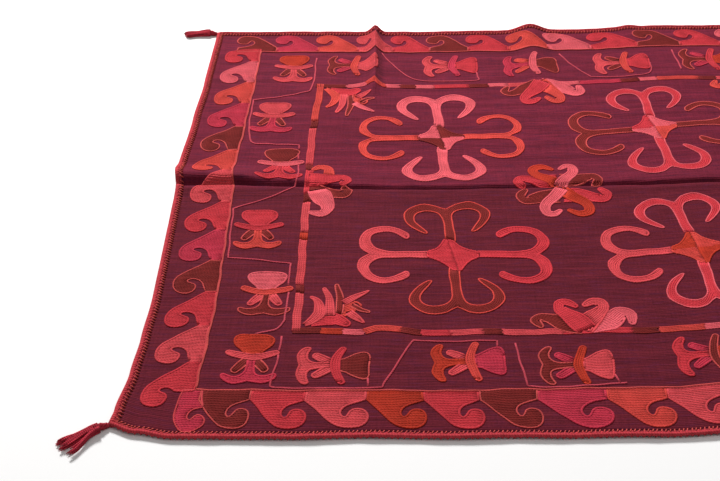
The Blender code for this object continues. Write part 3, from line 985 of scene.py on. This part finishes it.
class KILIM_OT_stitch_medallions(bpy.types.Operator):
    """Stitches the six ram's horn medallions"""
    bl_idname = "kilim.stitch_medallions"
    bl_label = "Stitch medallions"

    def execute(self, context):
        stitching = Stitching(1.04)
        for u, v, tilt, leans, arms, edges, quarter_wools, lengths, slim in MEDALLIONS:
            quarters = []
            for k, wool_name in enumerate(quarter_wools.split()):
                lean = leans[2] * (k % 2)
                place = Place(u, v, tilt + 90 * k + lean, skew=leans[2] - 2 * lean)
                quarters.append(spread(place(QUARTER), closed=True))
                stitching.fill(quarters[-1], wool_name, weft_guide(quarters[-1], LINE_STEP / 4), border=False)
                rim = spread(place(QUARTER[3:-1]))
                rim = rim + normals(rim) * ROW_PITCH / 2
                stitching.lay_row(rim, ROW_PITCH, sizes().outline_height, wool_name)
            for k, wool_name in enumerate(arms.split()):
                shape = slimmer(*ARM_SHAPES["pointed" if k % 2 else "round"], slim[k % 2])
                heading = tilt + 90 * k + (leans[k // 2] if k % 2 else 0)
                place = Place(u, v, heading, lengths[k], 0.5 + 0.5 * lengths[k])
                outline = spread(place(mirrored(shape)), closed=True)
                for side in (1, -1):
                    stitching.fill(outline, wool_name, spread(place(flipped(HORN_LINE, side))), taken=quarters,
                                   within=spread(place(flipped(shape, side)), closed=True), border=False)
                stitching.go_round(outline, wool_name, edges[k % 2], quarters)
        stitching.sew("medallions")
        return {"FINISHED"}


class KILIM_OT_stitch_crosses(bpy.types.Operator):
    """Stitches the small hooked crosses and the corner sprigs"""
    bl_idname = "kilim.stitch_crosses"
    bl_label = "Stitch crosses and sprigs"

    def execute(self, context):
        stitching = Stitching()
        for bands in (*CROSSES, *SPRIGS):
            taken = []
            for place, (points, widths), wool_name in bands:
                taken.append(stitch_band(stitching, place, points, widths, wool_name, taken))
        stitching.sew("crosses_and_sprigs")
        return {"FINISHED"}


# ---- inner frame and vine

# The inner frame: each side's middle line, the axis it runs along, its wools and where each ends
FRAME = (
    (mm("-666.5 -378, -667.5 -200, -667 -20, -663.5 45, -664.5 100, -667 200, -662 382"), 1,
     "salmon brown salmon rust salmon brown red brown salmon brown coral",
     metres("-283 -264 -140 -118 -30 -8 68 90 215 240 390")),
    (mm("-672 -376, -610 -375, -565 -377.5, -540 -367, -505 -370, -470 -378, -390 -377, -310 -381, -230 -380, "
        "-110 -381.5, 100 -380, 300 -384, 500 -379, 672 -376"), 0,
     "brown rust pink coral brown red salmon brown salmon red brown coral pink brown salmon red brown coral"
     " salmon brown pink",
     metres("-628 -595 -562 -505 -476 -430 -380 -350 -255 -150 -110 -35 60 95 180 290 330 430 520 560 680")),
    (mm("-672 377, -610 376, -582 380, -560 390, -538 381, -500 376.5, -400 375.5, -300 377.5, -200 379, -110 384, "
        "90 385, 300 381, 500 379, 672 377"), 0,
     "brown pink coral pink brown pink red brown pink salmon pink crimson brown pink coral brown salmon red"
     " brown pink coral brown salmon",
     metres("-610 -570 -530 -500 -468 -433 -362 -325 -285 -175 -140 -58 -22 15 100 135 240 330 370 470 570 605 680")),
    (mm("667 -378, 668 -150, 667 100, 666 382"), 1,
     "coral brown salmon rust pink brown salmon brown coral",
     metres("-250 -225 -90 -60 60 85 230 255 390")),
)
FRAME_ROWS = 4
BLOCK_SHIFT = 0.002      # how far a row's change of wool may lie off the block's end
FRAME_CLEAR = 0.9        # how far the frame may reach under a cross, as a share of a row
# The thin vine that winds between the flowers
VINES = (
    mm("-728 -384, -698 -371, -685.5 -350, -685.5 -350, -685.5 -206, -685.5 -206, -722 -199, -790 -190, -790 -190, "
       "-793 -50, -793 -50, -750 -26, -710 1, -686 26, -684 90, -689.5 156, -689.5 156, -740 161, -783 176, "
       "-793 320, -793 320, -706 346, -679.5 372, -677 491"),
    mm("-687 -388, -688 -440, -694 -492, -688 -500.5, -670 -501.5, -549 -501.5, -529 -488, -492 -404, -470 -397.5, "
       "-361 -400, -361 -400, -356 -474"),
    mm("-554 -500, -556 -470, -562 -428"),
    mm("-333 -405, -322 -501, -322 -501, -250 -502, -175 -496"),
    mm("-185 -497, -192 -470, -197 -440"),
    mm("10 -405, 14 -500, 14 -500, 205 -498.5, 232 -484, 252 -402, 252 -402, 385 -398, 402 -478"),
    mm("418 -405, 428 -500, 428 -500, 562 -498.5, 590 -482, 602 -402"),
    mm("-537 507, -508 452, -480 412.5, -450 399, -352 396.5, -344 415, -345 448"),
    mm("-170 501, -148 455, -116 404.5, -116 404.5, -60 401, 4 408, 12 450"),
    mm("66 500, 72 420"),
    mm("212 503, 232 450, 262 403.5, 262 403.5, 365 400, 376 450"),
    mm("402 502, 414 408, 414 408, 560 400.5, 584 448, 600 502"),
    mm("690 -470, 686 -350, 686 -350, 790 -338, 790 -338, 793 -205, 750 -186, 688 -176, 688 -176, 686 -30, 735 -12, "
       "793 4, 793 4, 792 150, 740 160, 690 168, 690 168, 688 310, 740 326, 790 338, 790 338, 792 470"),
)
VINE_WIDTH = 0.0030


class KILIM_OT_stitch_frame(bpy.types.Operator):
    """Stitches the inner frame, in blocks of different wools, and the thin vine outside it"""
    bl_idname = "kilim.stitch_frame"
    bl_label = "Stitch frame and vine"

    def execute(self, context):
        stitching = Stitching(0.90)
        crosses = [band(spread(place(points)), widths) for bands in CROSSES for place, (points, widths), _ in bands]
        for points, axis, wools, ends in FRAME:
            line = spread(points)
            side = normals(line)
            for row in range(FRAME_ROWS):
                offset = line + side * (row - (FRAME_ROWS - 1) / 2) * ROW_PITCH
                free = clear_of(offset, crosses, FRAME_CLEAR)
                start = -1.0
                for wool_name, end in zip(wools.split(), ends):
                    end += stitching.rng.uniform(-BLOCK_SHIFT, BLOCK_SHIFT)
                    inside = (offset[:, axis] >= start - LINE_STEP / 2) & (offset[:, axis] <= end + LINE_STEP / 2)
                    stitching.runs(offset, inside & free, ROW_PITCH, sizes().row_height, wool_name)
                    start = end
        flowers = []
        for place, _, _ in FLOWERS:
            flowers += [band(spread(place(ARMS)), ARM_CLEAR, round_start=True), spread(place(BULB), closed=True)]
        for points in VINES:
            line = spread(points)
            stitching.runs(line, clear_of(line, flowers), VINE_WIDTH, sizes().outline_height, "vine")
        stitching.sew("frame_and_vine")
        return {"FINISHED"}


# ---- wrapped edges and tassels

SIDES = ("near", "right", "far", "left")
CORNERS = {"near_left": (-HALF_U, -HALF_V), "near_right": (HALF_U, -HALF_V), "far_right": (HALF_U, HALF_V),
           "far_left": (-HALF_U, HALF_V)}
EDGE_POINTS = 700


def edge_line(k):
    """The middle line of a side's edge, corner to corner, and which way is out of the cloth all along it."""
    corners = tuple(CORNERS.values())
    flat = np.linspace(corners[k], corners[(k + 1) % 4], EDGE_POINTS)
    line = laid(flat[:, 0], flat[:, 1])
    outward = -normals(line[:, :2])
    line[:, :2] += outward * EDGE_OUT
    return line, outward


def reaching(line):
    """A line made longer at both ends, to the middles of its corners."""
    starts = [line[k] + (line[k] - line[n]) / np.linalg.norm(line[k] - line[n]) * EDGE_OUT
              for k, n in ((0, 1), (-1, -2))]
    return np.vstack((starts[:1], line, starts[1:]))


def corner_knots():
    """The centre of the knot at each corner, where two edges' middle lines cross."""
    lines = [edge_line(k)[0] for k in range(4)]
    knots = {}
    for k, name in enumerate(CORNERS):
        (a, b), (c, d) = lines[k - 1][-2:], lines[k][:2]
        ab, cd, ac = (b - a)[:2], (d - c)[:2], (c - a)[:2]
        t = (ac[0] * cd[1] - ac[1] * cd[0]) / (ab[0] * cd[1] - ab[1] * cd[0])
        knots[name] = a + (b - a) * t
    return knots


class Yarns(Strands):
    """Gathers the tubes of yarn of one piece."""

    def tube(self, points, radii, shade, sides=5, flat=1.0):
        """A closed tube along points; flat squeezes it in height."""
        points = np.asarray(points, float)
        run = np.gradient(points, axis=0)
        run /= np.linalg.norm(run, axis=1, keepdims=True)
        aside = np.cross(run, (0.0, 0.0, 1.0))
        length = np.linalg.norm(aside, axis=1, keepdims=True)
        aside = np.where(length < 1e-6, (1.0, 0.0, 0.0), aside / np.maximum(length, 1e-6))
        above = np.cross(aside, run) * flat
        turn = 2 * math.pi * (np.arange(sides) + 0.5) / sides
        ring = aside[:, None] * np.cos(turn)[None, :, None] + above[:, None] * np.sin(turn)[None, :, None]
        ring *= np.broadcast_to(np.asarray(radii, float), len(points))[:, None, None]
        self.strand(points[:, None] + ring, shade, run_length(points), np.arange(sides) / sides, (True,) * sides)

    def shade(self, name, low, high):
        return wool(name) * self.rng.uniform(low, high)


# Cords along the edge: how far out and up from its middle line, radius, flatness and wool
CORDS = ((-0.0018, 0.0026, 0.0048, 0.54, "edge_core"), (0.0016, 0.0049, 0.0035, 0.72, "edge"))
# A wrap's path round an edge, from its foot outside to the cloth: outward from the edge's middle, and height
WRAP_PATH = mm("2.6 1.4, 3.2 2.6, 2.6 3.8, 1 4.6, -2 4.7, -4.4 4")
WRAP_RADIUS = 0.0020
# The thin stitches that hold the edge to the cloth
TACK_PATH = mm("-3 5.2, -6.2 4.6, -9.2 3.4")
TACK_RADIUS = 0.0010
TACK_PITCH = 0.0062
SLANT = 0.0024           # how far a wrap or a tack moves along the edge as it crosses it
WRAP_SHIFT = 0.0005      # how far a wrap strays along the edge
CORD_STEP = 0.004
WRAP_MARGIN = 0.002      # free of wraps at both ends


class KILIM_OT_wrap_edges(bpy.types.Operator):
    """Wraps the four edges: a dark core and a red cord along the edge, bound with yarn turns"""
    bl_idname = "kilim.wrap_edges"
    bl_label = "Wrap edges"

    def execute(self, context):
        material = plied_yarn("plied red edge yarn", 0.004)
        for n, side in enumerate(SIDES):
            line, outward = edge_line(n)
            line, outward = reaching(line), np.vstack((outward[:1], outward, outward[-1:]))
            along = run_length(line[:, :2])
            first, last = WRAP_MARGIN, along[-1] - WRAP_MARGIN

            def beside(where, out, up):
                where = np.clip(where, first - WRAP_MARGIN, last + WRAP_MARGIN)
                point = [np.interp(where, along, line[:, c]) for c in range(3)]
                away = [np.interp(where, along, outward[:, c]) for c in range(2)]
                return np.stack((point[0] + away[0] * out, point[1] + away[1] * out, point[2] + up), axis=-1)

            yarns = Yarns()
            places = np.linspace(first - WRAP_MARGIN, last + WRAP_MARGIN, round((last - first) / CORD_STEP))
            for out, up, radius, flat, wool_name in CORDS:
                yarns.tube(beside(places, out, up), radius, wool(wool_name), sides=8, flat=flat)
            for path, radius, pitch, wool_name in ((WRAP_PATH, WRAP_RADIUS, sizes().wrap_pitch, "edge"),
                                                   (TACK_PATH, TACK_RADIUS, TACK_PITCH, "wrap")):
                out, up = np.array(path).T
                count = round((last - first) / pitch)
                slant = SLANT * np.linspace(-0.5, 0.5, len(out))
                for k in range(count):
                    where = first + (last - first) * (k + 0.5) / count + yarns.rng.uniform(-WRAP_SHIFT, WRAP_SHIFT)
                    yarns.tube(beside(where + slant, out, up), radius, yarns.shade(wool_name, 0.88, 1.10))
            finish_piece(yarns.make("wrapped_edge_" + side, material), "edge_cord", "edge_cord_" + side)
        return {"FINISHED"}


# Turns of yarn laid round each other in a corner knot: radius and height
KNOT_TURNS = mm("4 2, 3.4 4.4, 1.6 5.8")
KNOT_YARN = 0.0017
# Corner, heading, how far it bends, length, the width of its tip, and the thin strands that have parted from it
Tassel = namedtuple("Tassel", "corner heading turn length tip_width strands")
TASSELS = (
    Tassel("near_left", 206, 18, 0.084, 0.020, 2),
    Tassel("far_left", 172, 26, 0.076, 0.016, 0),
    Tassel("near_right", -24, -12, 0.080, 0.018, 1),
    Tassel("far_right", 12, -20, 0.076, 0.016, 1),
)
# The tassel's head: places along it, and its radius there. Its middle lies at least FLOOR_CLEAR above the floor
HEAD = mm("0 4, 6 3.6, 10 3.8, 14 4.8, 20 6, 28 6.4")
HEAD_SHARE = 0.92        # how thick the core under the binding is
BINDING_TURNS, BINDING_START, BINDING_PITCH, BINDING_YARN = 5, 0.007, 0.0021, 0.0009
# The yarns: heights of their layers at root and tip, and radii from root to tip
ROOT_HEIGHTS = metres("1.8 4.6 7.4 10.2")
TIP_HEIGHTS = metres("1.4 3.4 5.6 7.8")
YARN_RADII = metres("1.5 1.5 1.5 1.5 1.5 1.5 1.5 1.3 0.7")
FLOOR_CLEAR = 0.0030
LOCKS = 5                # the yarns lie in locks that part a little towards their tips
STRAND_EVERY = 23        # of this many yarns in turn, two go to each parted strand
YARNS_START = 0.020
ROOT_WIDTH = 0.0110


def tassel_point(tassel, knot, along, aside, height):
    """A point beside the tassel's bent middle line."""
    steps = 12
    x, y = knot[0], knot[1]
    for i in range(steps):
        heading = math.radians(tassel.heading + tassel.turn * along * (i + 0.5) / steps / tassel.length)
        x += math.cos(heading) * along / steps
        y += math.sin(heading) * along / steps
    heading = math.radians(tassel.heading + tassel.turn * along / tassel.length)
    return x - math.sin(heading) * aside, y + math.cos(heading) * aside, height


class KILIM_OT_tie_tassels(bpy.types.Operator):
    """Ties a tassel of loose yarns at each corner"""
    bl_idname = "kilim.tie_tassels"
    bl_label = "Tie tassels"

    def execute(self, context):
        material = plied_yarn("plied crimson tassel yarn", 0.003)
        knots = corner_knots()
        for tassel in TASSELS:
            knot = knots[tassel.corner]
            yarns = Yarns()
            rng = random.Random(tassel.corner)
            for k, (radius, height) in enumerate(KNOT_TURNS):
                ring = [(knot[0] + radius * math.cos(a), knot[1] + radius * math.sin(a), height)
                        for a in np.linspace(0.3 * k, 0.3 * k + 2 * math.pi * 0.97, 14)]
                yarns.tube(ring, KNOT_YARN, yarns.shade("edge", 0.8, 1.0), sides=6)
            core = [tassel_point(tassel, knot, along, 0.0, max(radius, FLOOR_CLEAR)) for along, radius in HEAD]
            yarns.tube(core, [radius * HEAD_SHARE for _, radius in HEAD], yarns.shade("tassel", 0.7, 0.8), sides=10)
            for k in range(BINDING_TURNS):
                along = BINDING_START + BINDING_PITCH * k
                radius = float(np.interp(along, *np.array(HEAD).T))
                ring = [tassel_point(tassel, knot, along + 0.0003 * a, radius * math.cos(a),
                                     max(radius, FLOOR_CLEAR) + radius * math.sin(a) + 0.0004)
                        for a in np.linspace(-1.2, 2 * math.pi - 1.5, 14)]
                yarns.tube(ring, BINDING_YARN, yarns.shade("tassel", 0.9, 1.25))
            for k in range(sizes().yarns):
                root = (rng.random() - 0.5) * ROOT_WIDTH
                lock = k * LOCKS // sizes().yarns
                tip = ((lock + 0.5) / LOCKS - 0.5 + rng.uniform(-0.09, 0.09)) * tassel.tip_width
                reach = tassel.length - 0.004 * (lock % 3) - rng.uniform(0.0, 0.006)
                strand = k % STRAND_EVERY
                if strand < 2 * tassel.strands:
                    root = 0.0050
                    tip = (0.86 + 0.34 * (strand // 2)) * tassel.tip_width + rng.uniform(-0.0008, 0.0008)
                sway, phase = rng.uniform(-0.0012, 0.0012), rng.uniform(0, 6)
                path = []
                for t in np.linspace(0.0, 1.0, len(YARN_RADII)).tolist():
                    bent = float(ease(t))
                    sink = float(ease(t / 0.7))
                    height = ROOT_HEIGHTS[k % 4] + (TIP_HEIGHTS[k % 4] - ROOT_HEIGHTS[k % 4]) * sink
                    path.append(tassel_point(tassel, knot, YARNS_START + (reach - YARNS_START) * t,
                                             root + (tip - root) * bent + sway * math.sin(4 * t + phase), height))
                yarns.tube(path, YARN_RADII, yarns.shade("tassel", 0.62, 1.40))
            piece = yarns.make("corner_tassel_" + tassel.corner, material)
            finish_piece(piece, "tassel_yarn", "tassel_" + tassel.corner)
        return {"FINISHED"}


# ---- stage

# Each lamp's name, place, size and power; it looks at the rug's centre
SOFTBOXES = (("key softbox", (-1.8, 3.6, 2.9), 1.0, 365.0), ("top softbox", (0.4, -0.6, 3.2), 2.4, 16.0))
SKY_STRENGTH = 0.25
LENS, SENSOR = 67.1, 36.0
EYE, EYE_TILT, EYE_TURN = (-0.547, -1.957, 1.34), 53.6, 0.8


class KILIM_OT_set_stage(bpy.types.Operator):
    """Sets the pale floor, the soft studio light and the camera"""
    bl_idname = "kilim.set_stage"
    bl_label = "Set stage"

    def execute(self, context):
        scene = context.scene
        bpy.ops.object.select_all(action="DESELECT")
        bpy.ops.mesh.primitive_plane_add(size=9.0, location=(0.0, 0.6, 0.0))
        floor = context.object
        floor.name = "studio_floor"
        painted = bpy.data.materials.new("pale painted floor")
        painted.use_nodes = True
        shader = painted.node_tree.nodes["Principled BSDF"]
        shader.inputs["Base Color"].default_value = (*linear("#F4F3F2"), 1.0)
        shader.inputs["Roughness"].default_value = 0.9
        floor.data.materials.append(painted)

        world = bpy.data.worlds.new("studio")
        scene.world = world
        world.use_nodes = True
        sky = world.node_tree.nodes["Background"]
        sky.inputs["Color"].default_value = (1.0, 1.0, 1.0, 1.0)
        sky.inputs["Strength"].default_value = SKY_STRENGTH
        for name, place, size, power in SOFTBOXES:
            lamp = bpy.data.lights.new(name, "AREA")
            lamp.shape = "DISK"
            lamp.size = size
            lamp.energy = power
            obj = add(name, lamp)
            obj.location = place
            obj.rotation_euler = (-Vector(place)).to_track_quat("-Z", "Y").to_euler()

        camera = bpy.data.cameras.new("view")
        camera.lens = LENS
        camera.sensor_width = SENSOR
        eye = add("view", camera)
        eye.location = EYE
        eye.rotation_euler = (math.radians(EYE_TILT), 0.0, math.radians(EYE_TURN))
        scene.camera = eye
        scene.view_settings.view_transform = "Standard"
        return {"FINISHED"}


class KILIM_PT_maker(bpy.types.Panel):
    """Lists the rug's sizes, colours and steps"""
    bl_idname = "KILIM_PT_maker"
    bl_label = "Kilim rug"
    bl_space_type = "VIEW_3D"
    bl_region_type = "UI"
    bl_category = "Kilim"

    def draw(self, context):
        layout = self.layout
        for group in (context.scene.kilim_sizes, context.scene.kilim_colours):
            column = layout.column(align=True)
            for name in group.bl_rna.properties.keys():
                if name not in ("rna_type", "name"):
                    column.prop(group, name)
        for step in STEPS:
            layout.operator(step.bl_idname)


STEPS = (KILIM_OT_weave_cloth, KILIM_OT_stitch_waves, KILIM_OT_stitch_flowers, KILIM_OT_stitch_medallions,
         KILIM_OT_stitch_crosses, KILIM_OT_stitch_frame, KILIM_OT_wrap_edges, KILIM_OT_tie_tassels,
         KILIM_OT_set_stage)
CLASSES = (KilimSizes, KilimColours, *STEPS, KILIM_PT_maker)


def register():
    for cls in CLASSES:
        bpy.utils.register_class(cls)
    bpy.types.Scene.kilim_sizes = PointerProperty(type=KilimSizes)
    bpy.types.Scene.kilim_colours = PointerProperty(type=KilimColours)


def unregister():
    del bpy.types.Scene.kilim_colours
    del bpy.types.Scene.kilim_sizes
    for cls in reversed(CLASSES):
        bpy.utils.unregister_class(cls)


def main():
    register()
    for step in STEPS:
        group, name = step.bl_idname.split(".")
        getattr(getattr(bpy.ops, group), name)()


if __name__ == "__main__":
    main()
